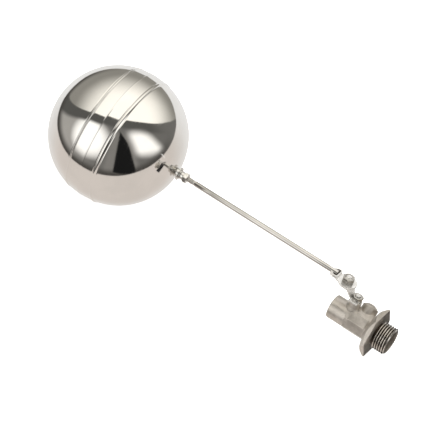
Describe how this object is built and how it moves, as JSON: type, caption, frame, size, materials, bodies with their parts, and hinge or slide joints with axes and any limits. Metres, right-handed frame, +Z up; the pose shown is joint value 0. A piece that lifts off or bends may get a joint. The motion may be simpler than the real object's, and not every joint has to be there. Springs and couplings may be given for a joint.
{
  "type": "float valve",
  "caption": "Stainless steel float valve: a pipe-threaded quarter-turn valve body with a cranked lever, an adjustable float arm and a hollow ball float.",
  "frame": {"origin": "on the pipe's centre line, on the flange face where the inlet thread starts", "axes": "+X along the pipe, out of the inlet thread and away from the float; +Z up the valve stem; at rest the float arm runs along -X, parallel to the pipe"},
  "size_m": [0.2949, 0.1004, 0.1004],
  "materials": {
    "cast_steel": "satin, investment cast and blasted stainless steel",
    "machined_steel": "bright turned stainless steel",
    "stamped_steel": "bright stamped stainless steel sheet",
    "drawn_steel": "bright drawn stainless steel rod",
    "polished_steel": "mirror polished stainless steel",
    "weld_steel": "dressed and polished weld",
    "seal_plastic": "matte white PTFE"
  },
  "bodies": {
    "valve": {"valve_body": "cast_steel", "seat_retainer": "machined_steel", "inlet_seat": "seal_plastic", "outlet_seat": "seal_plastic", "thrust_washer": "seal_plastic", "stem_packing": "seal_plastic", "gland_ring": "machined_steel"},
    "lever": {"valve_ball": "polished_steel", "valve_stem": "machined_steel", "lever_plate": "stamped_steel", "stem_washer": "machined_steel", "stem_nut": "machined_steel", "clamp_bolt": "machined_steel", "clamp_nut": "machined_steel"},
    "float_arm": {"arm_bracket": "stamped_steel", "float_rod": "drawn_steel", "rod_lock_nut": "machined_steel", "lock_collar": "machined_steel", "split_washer": "machined_steel", "boss_washer": "machined_steel", "float_boss": "machined_steel", "float_shell_rod_side": "polished_steel", "float_shell_far_side": "polished_steel", "float_weld_bead": "weld_steel"}
  },
  "joints": [
    {"name": "stem_swing", "type": "hinge", "parent": "valve", "child": "lever", "pos_m": [-0.0227, 0, 0], "axis": [0, 0, 1], "range_deg": [0, 90]},
    {"name": "arm_adjust", "type": "hinge", "parent": "lever", "child": "float_arm", "pos_m": [-0.0339, 0, 0.0253], "axis": [0, 0, 1], "range_deg": [-90, 90]}
  ]
}
